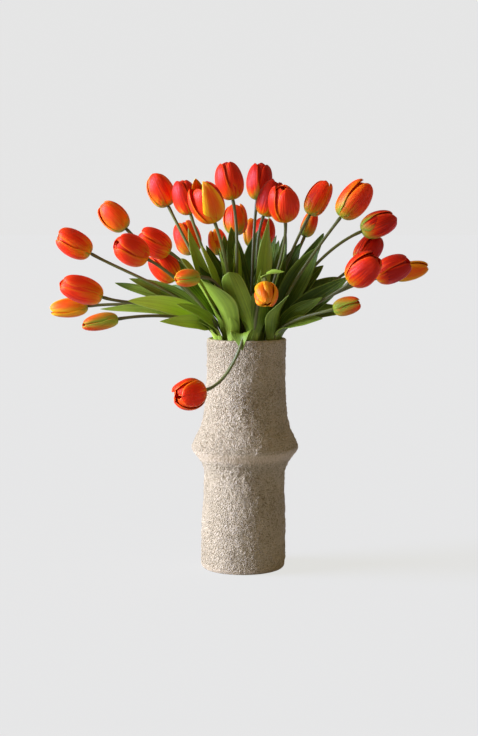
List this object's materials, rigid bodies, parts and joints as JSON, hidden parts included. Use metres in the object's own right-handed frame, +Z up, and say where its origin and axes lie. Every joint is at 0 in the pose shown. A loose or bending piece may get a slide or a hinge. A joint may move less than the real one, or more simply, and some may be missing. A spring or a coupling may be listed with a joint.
{
  "type": "tulips in a vase",
  "caption": "Loose fan of long-stemmed red and yellow tulips with their leaves, one hanging low, in a tall rough stoneware vase with a raised ring round its middle.",
  "frame": {"origin": "centre of the vase's flat foot, on the surface that it stands on", "axes": "+Z up along the vase; -Y towards the front, the side over which one tulip hangs; +X to the right as seen from the front"},
  "size_m": [0.596, 0.3185, 0.6326],
  "materials": {
    "vase_clay": "matte",
    "stem_green": "satin",
    "petal_red": "satin",
    "bud_yellow": "satin"
  },
  "bodies": {
    "root": {"vase": "vase_clay", "tulip_01_stem": "stem_green", "tulip_01_bloom": "petal_red", "tulip_02_stem": "stem_green", "tulip_02_bloom": "petal_red", "tulip_03_stem": "stem_green", "tulip_03_bloom": "petal_red", "tulip_04_stem": "stem_green", "tulip_04_bloom": "petal_red", "tulip_05_stem": "stem_green", "tulip_05_bloom": "petal_red", "tulip_06_stem": "stem_green", "tulip_06_bloom": "petal_red", "tulip_07_stem": "stem_green", "tulip_07_bloom": "petal_red", "tulip_08_stem": "stem_green", "tulip_08_bloom": "petal_red", "tulip_09_stem": "stem_green", "tulip_09_bloom": "petal_red", "tulip_10_stem": "stem_green", "tulip_10_bloom": "petal_red", "tulip_11_stem": "stem_green", "tulip_11_bloom": "petal_red", "tulip_12_stem": "stem_green", "tulip_12_bloom": "petal_red", "tulip_13_stem": "stem_green", "tulip_13_bloom": "petal_red", "tulip_14_stem": "stem_green", "tulip_14_bloom": "petal_red", "tulip_15_stem": "stem_green", "tulip_15_bloom": "petal_red", "tulip_16_stem": "stem_green", "tulip_16_bloom": "petal_red", "tulip_17_stem": "stem_green", "tulip_17_bloom": "petal_red", "tulip_18_stem": "stem_green", "tulip_18_bloom": "petal_red", "tulip_19_stem": "stem_green", "tulip_19_bloom": "bud_yellow", "tulip_20_stem": "stem_green", "tulip_20_bloom": "bud_yellow", "tulip_21_stem": "stem_green", "tulip_21_bloom": "petal_red", "tulip_22_stem": "stem_green", "tulip_22_bloom": "bud_yellow", "tulip_23_stem": "stem_green", "tulip_23_bloom": "petal_red", "tulip_24_stem": "stem_green", "tulip_24_bloom": "petal_red", "tulip_25_stem": "stem_green", "tulip_25_bloom": "bud_yellow", "tulip_26_stem": "stem_green", "tulip_26_bloom": "bud_yellow", "tulip_27_stem": "stem_green", "tulip_27_bloom": "petal_red", "tulip_28_stem": "stem_green", "tulip_28_bloom": "bud_yellow", "tulip_29_stem": "stem_green", "tulip_29_bloom": "petal_red"}
  },
  "joints": []
}
